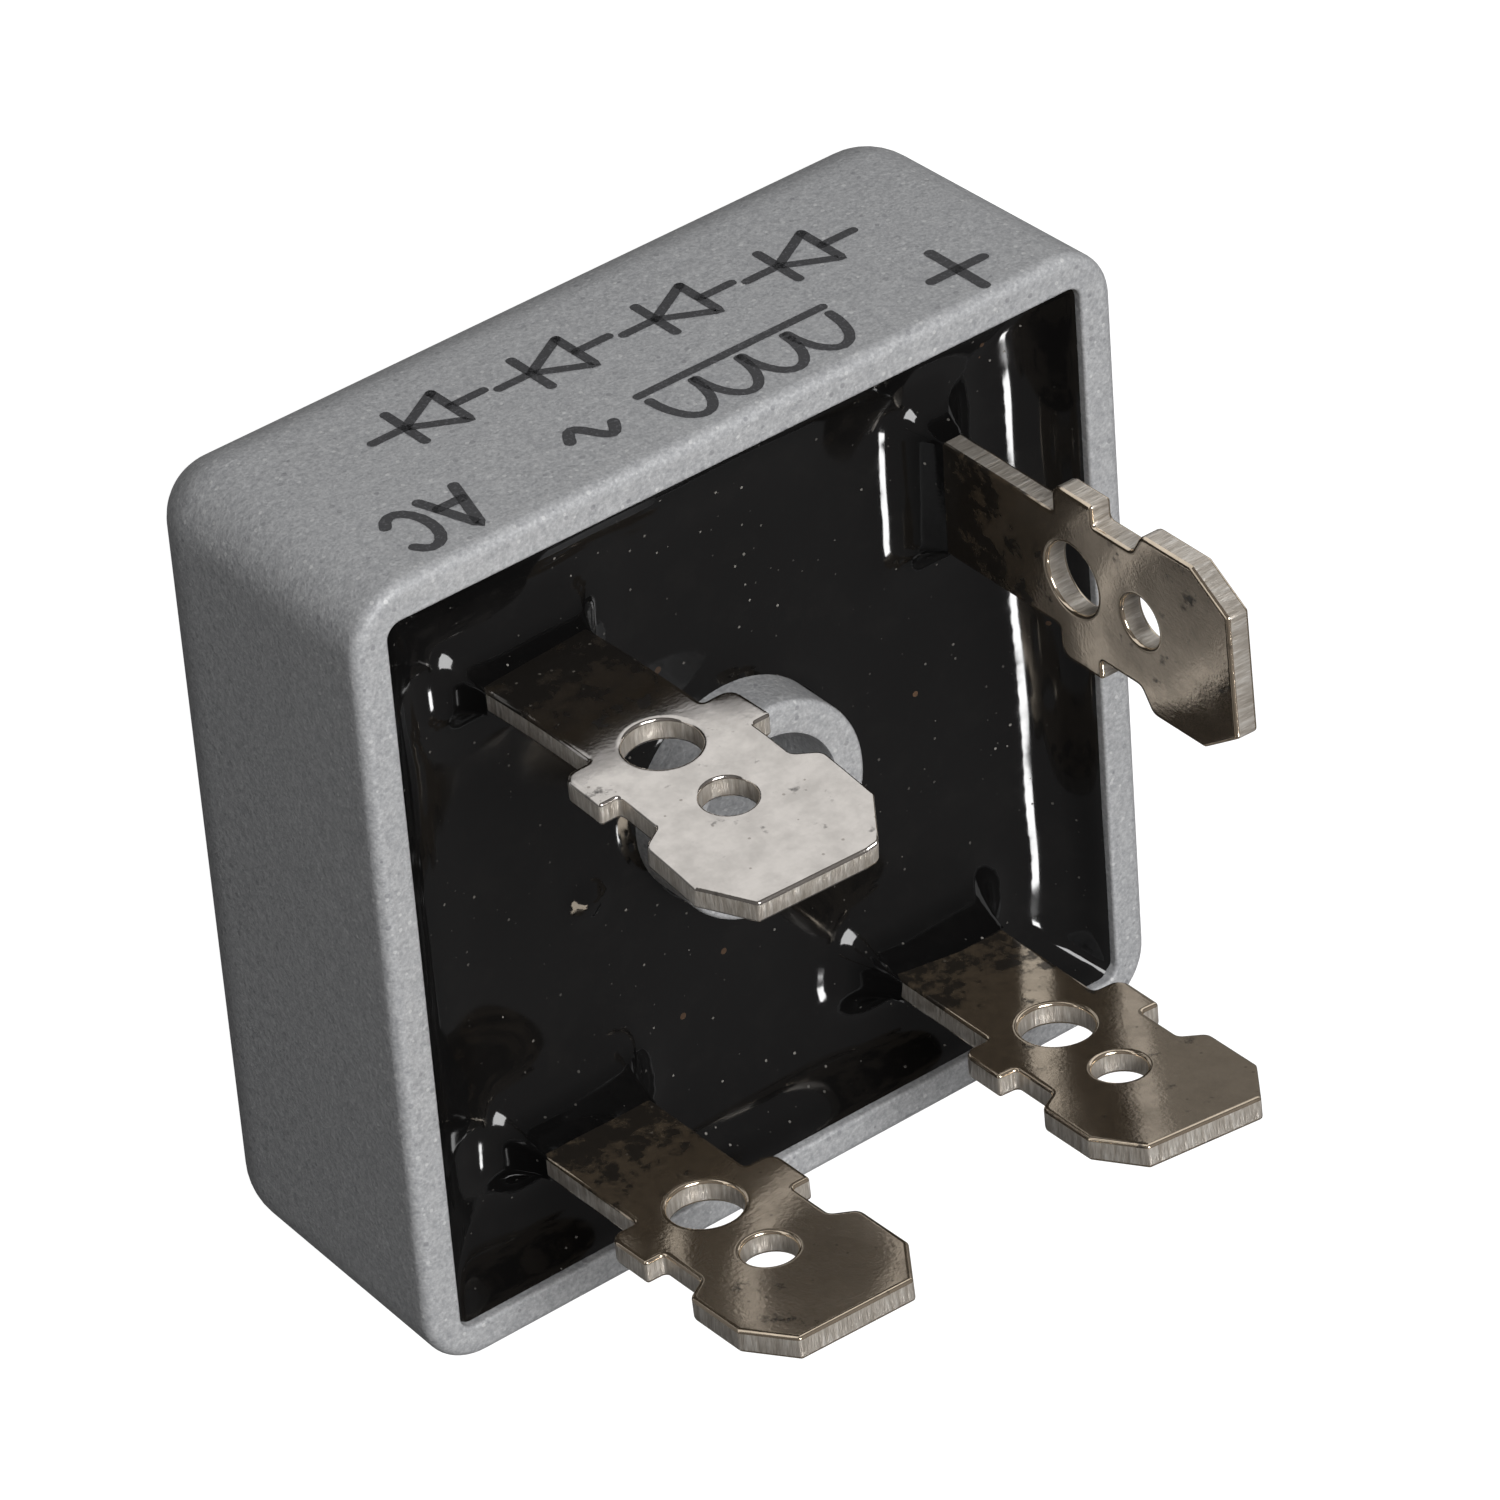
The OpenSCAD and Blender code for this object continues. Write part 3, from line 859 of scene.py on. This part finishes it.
def face_fill(loops, stamping):
    """Points and triangles that fill the flat sheet inside its outline and outside its holes.

    The loops' own points come first, in their order.
    """
    outline, *holes = loops
    points = [p for loop in loops for p in loop]
    edges = loop_edges([len(loop) for loop in loops])
    low = Vector((min(p.x for p in outline), min(p.y for p in outline)))
    high = Vector((max(p.x for p in outline), max(p.y for p in outline)))
    f = low.y + FILL_SPACING / 2
    while f < high.y:
        x = low.x + FILL_SPACING / 2
        while x < high.x:
            point = Vector((x, f))
            nearest = min((point - p).length for p in points)
            if nearest > FILL_CLEARANCE and inside(point, outline):
                points.append(point)
            x += FILL_SPACING
        f += BEND_STEP if stamping.in_bend(f) else FILL_SPACING
    filled, _, triangles, *_ = delaunay_2d_cdt(points, edges, [], 1, 1e-5)
    kept = []
    for triangle in triangles:
        middle = triangle_middle(filled, triangle)
        if inside(middle, outline) and not any(inside(middle, hole) for hole in holes):
            kept.append(tuple(triangle))
    return filled, kept


def edge_profile():
    """(Inset, depth) across the sheet's edge, from one rounded rim to the other."""
    lower = [(EDGE_ROUND * b, EDGE_ROUND * a) for a, b in fillet(3)]
    return lower + [(inset, SHEET - depth) for inset, depth in reversed(lower)]


def make_terminal(name, stamping, turn, materials):
    """Mesh of a stamping, turned to its corner and leaned as it stands."""
    tin_index, edge_index = 0, 1
    loops = [stamping.outline()] + [stamping.hole(*hole) for hole in (WIRE_HOLE, LATCH_HOLE)]
    inner = [inset_loop(loop, EDGE_ROUND * 1.6) for loop in loops]
    flat_points, triangles = face_fill(inner, stamping)
    points = []
    faces = []
    kinds = []
    caps = []
    for depth in (0, SHEET):
        caps.append(len(points))
        points += [stamping.bent(p.x, p.y, depth) for p in flat_points]
    for a, b, c in triangles:
        faces += [(caps[0] + c, caps[0] + b, caps[0] + a), (caps[1] + a, caps[1] + b, caps[1] + c)]
        kinds += [tin_index] * 2
    start = 0
    for loop in loops:
        count = len(loop)
        rows = [[caps[0] + start + i for i in range(count)]]
        for inset, depth in edge_profile():
            rows.append(list(range(len(points), len(points) + count)))
            points += [stamping.bent(p.x, p.y, depth) for p in inset_loop(loop, inset)]
        rows.append([caps[1] + start + i for i in range(count)])
        middle = len(rows) // 2 - 1
        for level in range(len(rows) - 1):
            for i in range(count):
                j = (i + 1) % count
                faces.append((rows[level][i], rows[level][j],
                              rows[level + 1][j], rows[level + 1][i]))
                kinds.append(edge_index if level == middle else tin_index)
        start += count
    placed = [bent_blade(name, turn @ p) for p in points]
    terminal = new_piece(name + "_stamping", placed, faces, materials, 50, kinds)
    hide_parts(name)
    return terminal


def make_terminals(tin, aged_tin, edge_across_y, edge_across_x):
    """The four stampings: plus a quarter turn round, minus mirrored, back AC half a turn round."""
    lower, upper = (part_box(name)[0][2] / MM for name in ("terminal_plus", "terminal_ac_front"))
    for name in BLADE_SHIFTS:
        centre = blade_centre(name)
        side, row = abs(centre.x), abs(centre.y)
        turn = Matrix.Identity(3)
        foot_z = upper
        edge = edge_across_y
        if name == "terminal_plus":
            side, row = row, side
            edge = edge_across_x
            turn = Matrix.Rotation(math.radians(270), 3, "Z")
            foot_z = lower
        elif name == "terminal_minus":
            turn = Matrix.Diagonal((1, -1, 1))
            foot_z = lower
        elif name == "terminal_ac_back":
            turn = Matrix.Rotation(math.radians(180), 3, "Z")
        plate = tin if name == "terminal_ac_front" else aged_tin
        make_terminal(name, Stamping(side, row, foot_z), turn, [plate, edge])


# ---- Printed marks ----

INK_PROUD = 0.012
INK_STEP = 0.12
LINE = 0.38
THIN_LINE = 0.34


def on_marked_face(x, z):
    """Place just off the drafted -Y face."""
    return Vector((x, -(CASE_HALF - CASE_DRAFT * (1 - z / CASE_HEIGHT)) - INK_PROUD, z))


def arc(middle, radii, start, end, steps=14):
    """Points of an elliptic arc between two angles in degrees."""
    turns = [math.radians(start + (end - start) * i / steps) for i in range(steps + 1)]
    return [(middle[0] + radii[0] * math.cos(a), middle[1] + radii[1] * math.sin(a)) for a in turns]


def round_end(cut, width, outward):
    """Cuts (place, direction, share of the width) through a line's round end, outermost first."""
    spot, along, _ = cut
    return [(spot + along * outward * width / 2 * r, along, math.sqrt(1 - r * r))
            for r in (0.95, 0.7, 0.4)]


def ribbon(path, width):
    """Points and faces of a printed line with round ends and slightly ragged sides."""
    line = [Vector(p) for p in path]
    spots = []
    for a, b in zip(line, line[1:]):
        count = max(1, round((b - a).length / INK_STEP))
        spots += [a.lerp(b, i / count) for i in range(count)]
    spots.append(line[-1])
    cuts = []
    for i, spot in enumerate(spots):
        along = (spots[min(i + 1, len(spots) - 1)] - spots[max(i - 1, 0)]).normalized()
        cuts.append((spot, along, 1.0))
    head = round_end(cuts[0], width, -1)
    tail = reversed(round_end(cuts[-1], width, 1))
    points = []
    for spot, along, share in [*head, *cuts, *tail]:
        across = Vector((-along.y, along.x)) * width / 2 * share
        for side in (1, -1):
            place = spot + across * side
            place *= 1 + 0.0012 * noise.noise(Vector((place.x * 6, place.y * 6, side)))
            points.append(on_marked_face(place.x, place.y))
    faces = [(2 * i, 2 * i + 1, 2 * i + 3, 2 * i + 2) for i in range(len(points) // 2 - 1)]
    return points, faces


def make_mark(name, paths, ink, width=LINE):
    points = []
    faces = []
    for path in paths:
        more_points, more_faces = ribbon(path, width)
        faces += [tuple(len(points) + i for i in face) for face in more_faces]
        points += more_points
    return new_piece(name, points, faces, [ink], 60)


def diode_symbol(middle, length, height):
    """Leads, triangle and bar of a diode, as paths."""
    x, z = middle
    back, front = x - height * 0.42, x + height * 0.42
    return [
        [(x - length / 2, z), (back, z)], [(front, z), (x + length / 2, z)],
        [(back, z - height / 2), (back, z + height / 2), (front, z), (back, z - height / 2)],
        [(front, z - height / 2), (front, z + height / 2)],
    ]


# The long row is printed a little askew
ROW_SLOPE = -1.1 / 17.9


def make_marks(ink):
    """Terminal signs, with plain circuit signs where the original has its names."""
    make_mark("mark_plus", [[(-10.8, 9.7), (-8.8, 9.7)], [(-9.8, 8.4), (-9.8, 11.0)]], ink)
    letter_a = [[(8.2, 8.4), (8.85, 10.6), (9.5, 8.4)], [(8.42, 9.1), (9.28, 9.1)]]
    letter_c = [arc((10.5, 9.5), (0.62, 1.1), 40, 320)]
    make_mark("mark_ac", letter_a + letter_c, ink)
    shares = [i / 16 for i in range(17)]
    wave = [(2.75 + 1.6 * t, 9.0 + 0.5 * math.sin(2 * math.pi * t)) for t in shares]
    make_mark("mark_wave", [wave], ink)
    humps = [[(-5.6, 8.45), (1.4, 8.45)]]
    humps += [arc((-4.7 + 1.73 * i, 8.9), (0.82, 1.7), 0, 180) for i in range(4)]
    make_mark("mark_humps", humps, ink, THIN_LINE)
    row = []
    for i in range(4):
        x = -6.95 + 4.48 * i
        row += diode_symbol((x, 5.25 + ROW_SLOPE * x), 4.1, 2.0)
    make_mark("mark_diodes", row, ink, THIN_LINE)


# ---- Pieces inside ----

def finish_inner_pieces():
    """Finishes for the pieces that the potting hides, on the CAD model's own meshes."""
    finishes = {
        "insulating_plate": plain_material("white_alumina", (0.80, 0.79, 0.76), 0.55),
        "bond_layer": plain_material("bond_adhesive", (0.42, 0.43, 0.44), 0.6),
        "die": plain_material("silicon", (0.09, 0.095, 0.11), 0.22),
        "solder": plain_material("solder", (0.62, 0.62, 0.63), 0.34, metallic=1.0),
    }
    for name, obj in frame["nodes"].items():
        for start, finish in finishes.items():
            if name.startswith(start):
                obj.data.materials.clear()
                obj.data.materials.append(finish)


# ---- Camera, light and floor ----

# The photo's camera, found by fitting the case's outline (place in metres)
CAMERA_PLACE = Vector((0.13442, -0.16513, 0.19753))
CAMERA_FORWARD = Vector((-0.47637, 0.57853, -0.66209))
CAMERA_UP = Vector((-0.40230, -0.81300, -0.42094))
CAMERA_LENS = 224.13


def make_camera():
    camera_data = bpy.data.cameras.new("camera")
    camera_data.sensor_width = 36
    camera_data.lens = CAMERA_LENS
    camera_data.clip_end = 10
    camera = bpy.data.objects.new("camera", camera_data)
    forward = CAMERA_FORWARD.normalized()
    right = forward.cross(CAMERA_UP.normalized()).normalized()
    up = right.cross(forward)
    turn = Matrix((right, up, -forward)).transposed().to_4x4()
    camera.matrix_world = Matrix.Translation(CAMERA_PLACE) @ turn
    bpy.context.scene.collection.objects.link(camera)
    bpy.context.scene.camera = camera


def area_light(name, direction, distance, size, power, target=(0, 0, 0.008)):
    """White rectangle of light that faces its target, with sizes in metres."""
    light_data = bpy.data.lights.new(name, "AREA")
    light_data.shape = "RECTANGLE"
    light_data.size, light_data.size_y = size
    light_data.energy = power
    light = bpy.data.objects.new(name, light_data)
    direction = Vector(direction).normalized()
    light.location = Vector(target) + direction * distance
    light.rotation_euler = direction.to_track_quat("Z", "Y").to_euler()
    bpy.context.scene.collection.objects.link(light)
    return light


def make_world():
    """White to the camera, a dim even light, and a grey room in reflections, paler above."""
    world = bpy.data.worlds.new("studio")
    bpy.context.scene.world = world
    world.use_nodes = True
    tree = world.node_tree
    tree.nodes.clear()
    output = tree.nodes.new("ShaderNodeOutputWorld")
    path = tree.nodes.new("ShaderNodeLightPath")
    place = tree.nodes.new("ShaderNodeTexCoord")
    split = tree.nodes.new("ShaderNodeSeparateXYZ")
    tree.links.new(place.outputs["Generated"], split.inputs[0])
    ramp = tree.nodes.new("ShaderNodeValToRGB")
    ramp.color_ramp.elements[0].position = 0.15
    ramp.color_ramp.elements[0].color = (0.09, 0.09, 0.09, 1)
    ramp.color_ramp.elements[1].position = 0.55
    ramp.color_ramp.elements[1].color = (0.18, 0.175, 0.175, 1)
    tree.links.new(split.outputs["Z"], ramp.inputs["Fac"])
    lit = tree.nodes.new("ShaderNodeBackground")
    lit.inputs["Strength"].default_value = 1.0
    dim = tree.nodes.new("ShaderNodeBackground")
    dim.inputs["Color"].default_value = (1, 1, 1, 1)
    dim.inputs["Strength"].default_value = 0.1
    white = tree.nodes.new("ShaderNodeBackground")
    white.inputs["Color"].default_value = (1, 1, 1, 1)
    tree.links.new(ramp.outputs["Color"], lit.inputs["Color"])
    by_gloss = tree.nodes.new("ShaderNodeMixShader")
    tree.links.new(path.outputs["Is Glossy Ray"], by_gloss.inputs["Fac"])
    tree.links.new(dim.outputs[0], by_gloss.inputs[1])
    tree.links.new(lit.outputs[0], by_gloss.inputs[2])
    by_camera = tree.nodes.new("ShaderNodeMixShader")
    tree.links.new(path.outputs["Is Camera Ray"], by_camera.inputs["Fac"])
    tree.links.new(by_gloss.outputs[0], by_camera.inputs[1])
    tree.links.new(white.outputs[0], by_camera.inputs[2])
    tree.links.new(by_camera.outputs[0], output.inputs["Surface"])


# The floor's glow in reflections: its strength, and the Y in metres where it starts and is full
FLOOR_GLOW = 0.78
FLOOR_GLOW_START_Y = -0.011
FLOOR_GLOW_FULL_Y = -0.019


def make_floor():
    """Floor that is white to the camera, grey to the light, and in reflections pale only in front."""
    n = Nodes("floor")
    path = n.add("ShaderNodeLightPath")
    sides = n.add("ShaderNodeSeparateXYZ", {0: n.place})
    front = n.add("ShaderNodeMapRange", {
        "Value": sides.outputs[1], "From Min": FLOOR_GLOW_START_Y, "From Max": FLOOR_GLOW_FULL_Y,
        "To Min": 0.0, "To Max": FLOOR_GLOW})
    seen = n.calc("MAXIMUM", path.outputs["Is Camera Ray"],
                  n.calc("MULTIPLY", path.outputs["Is Glossy Ray"], front.outputs["Result"]))
    matte = n.add("ShaderNodeBsdfDiffuse", {"Color": (0.17, 0.17, 0.17, 1)})
    glow = n.add("ShaderNodeEmission", {"Color": (1, 1, 1, 1), "Strength": seen})
    both = n.add("ShaderNodeAddShader")
    n.set(both, 0, matte.outputs[0])
    n.set(both, 1, glow.outputs[0])
    n.tree.links.new(both.outputs[0], n.output.inputs["Surface"])
    size = 2.0
    mesh = bpy.data.meshes.new("floor")
    mesh.from_pydata([(-size, -size, 0), (size, -size, 0), (size, size, 0), (-size, size, 0)],
                     [], [(0, 1, 2, 3)])
    mesh.materials.append(n.material)
    floor = bpy.data.objects.new("floor", mesh)
    bpy.context.scene.collection.objects.link(floor)


def make_lights():
    """A key light, and a small one that draws the highlight on the potting at the -X wall."""
    area_light("key", (0.09, -0.545, 1.0), distance=0.5, size=(0.25, 0.25), power=2.4)
    streak = area_light("streak", (0.089, 0.574, 0.814), distance=0.45, size=(0.06, 0.04),
                        power=0.2, target=(-0.01135, 0.0015, 0.0097))
    streak.visible_diffuse = False


# ---- Build ----

bpy.context.scene.view_settings.view_transform = "Standard"
make_camera()
make_world()
make_floor()
make_lights()

aluminium = case_material()
epoxy = potting_material()
tin = plate_material("tin_plate", (0.70, 0.665, 0.63), 0.06)
aged_tin = plate_material("aged_tin_plate", (0.82, 0.70, 0.555), 0.16)
ink = ink_material()

make_case(aluminium)
make_potting(epoxy)
make_terminals(tin, aged_tin, edge_material("sheared_edge_y", 1), edge_material("sheared_edge_x", 0))
make_marks(ink)
finish_inner_pieces()
